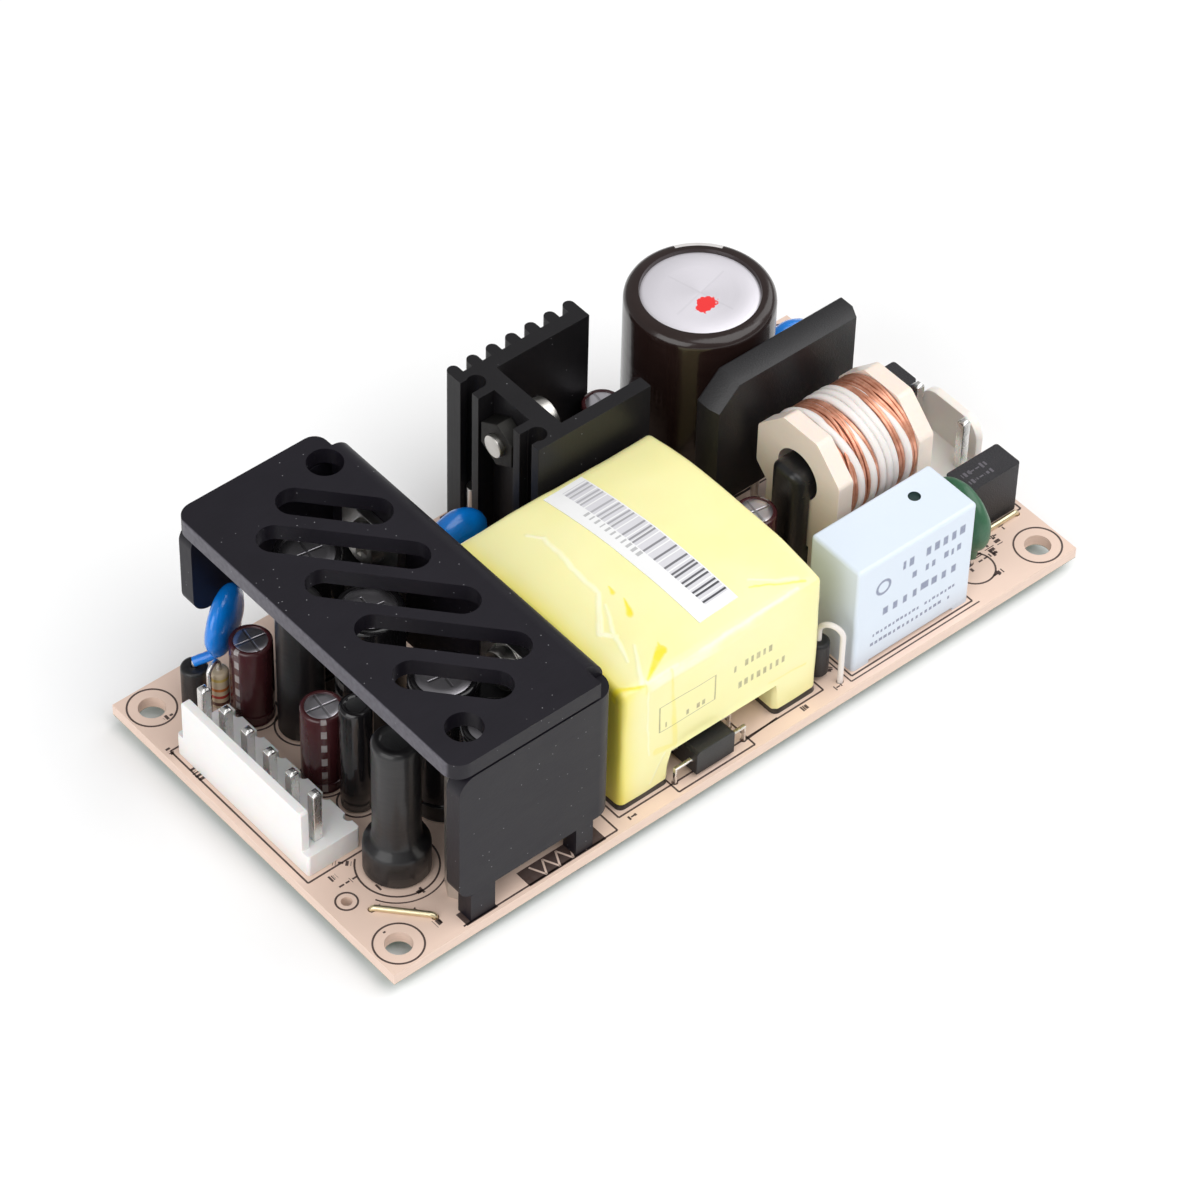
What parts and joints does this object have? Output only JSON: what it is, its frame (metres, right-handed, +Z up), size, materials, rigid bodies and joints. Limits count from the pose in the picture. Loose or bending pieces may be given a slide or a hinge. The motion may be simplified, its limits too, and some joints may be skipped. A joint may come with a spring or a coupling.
{
  "type": "open frame power supply",
  "caption": "Open frame power supply board: mains header and filter at one end, taped transformer, heatsinks, and a plug header for the output at the other.",
  "frame": {"origin": "centre of the four corner mounting holes, on the board's underside", "axes": "+X along the board to the mains end, +Y across it to the heatsinks' and bulk capacitor's edge, +Z up from the board to the parts"},
  "size_m": [0.1016, 0.0508, 0.0292],
  "materials": {
    "board": "pale coated laminate with printed outlines",
    "header_white": "moulded white",
    "header_cream": "moulded cream",
    "tinned": "tinned metal",
    "anodised": "black anodised sheet",
    "extrusion": "black anodised extrusion",
    "package": "moulded power package, tinned tab and leads",
    "steel": "plated steel",
    "brown_sleeve": "dark brown sleeve, silver top disc",
    "black_sleeve": "shrunk black sleeve",
    "yellow_tape": "yellow tape",
    "label": "white label with plain bars",
    "box_blue": "pale blue moulded box",
    "ferrite": "dark ferrite",
    "bobbin": "cream moulding",
    "copper": "enamelled copper wire",
    "white_wire": "white insulated wire",
    "bridge": "black moulded slab",
    "fuse_body": "black moulded block",
    "green_dip": "dipped dark green coating",
    "blue_dip": "dipped blue coating",
    "resistor_body": "beige coat with coloured bands",
    "opto_black": "black moulding, tinned leads",
    "chip": "black moulding",
    "solder": "bright solder"
  },
  "bodies": {
    "root": {"boxed_capacitor": "box_blue", "bridge_rectifier": "bridge", "bulk_capacitor": "brown_sleeve", "ceramic_capacitor": "blue_dip", "channel_screws": "steel", "chip_parts": "chip", "choke_bare_winding": "copper", "choke_bobbin": "bobbin", "choke_core": "ferrite", "choke_sleeved_winding": "white_wire", "circuit_board": "board", "controller": "chip", "cover_pillar": "steel", "ferrite_bead": "ferrite", "filter_capacitor_1": "brown_sleeve", "filter_capacitor_2": "brown_sleeve", "fuse_1": "fuse_body", "fuse_2": "fuse_body", "inlet_header": "header_cream", "inlet_pin_1": "tinned", "inlet_pin_2": "tinned", "optocoupler": "opto_black", "output_capacitor_1": "brown_sleeve", "output_capacitor_2": "brown_sleeve", "output_capacitor_3": "brown_sleeve", "output_capacitor_4": "brown_sleeve", "output_header": "header_white", "output_heatsink": "anodised", "output_pin_1": "tinned", "output_pin_2": "tinned", "output_pin_3": "tinned", "output_pin_4": "tinned", "output_pin_5": "tinned", "output_pin_6": "tinned", "output_rectifier_1": "package", "output_rectifier_2": "package", "output_resistor": "resistor_body", "pillar_screw": "steel", "primary_heatsink": "extrusion", "rectifier_screws": "steel", "rod_choke": "black_sleeve", "safety_disc_1": "blue_dip", "safety_disc_2": "blue_dip", "slim_choke": "black_sleeve", "solder_joints": "solder", "supply_capacitor_1": "brown_sleeve", "supply_capacitor_2": "brown_sleeve", "switching_transistor": "package", "tall_choke": "black_sleeve", "thermistor": "green_dip", "transformer": "yellow_tape", "transformer_label": "label", "transistor_nut": "steel", "transistor_screw": "steel", "upright_diode": "opto_black", "wire_links": "tinned"}
  },
  "joints": []
}
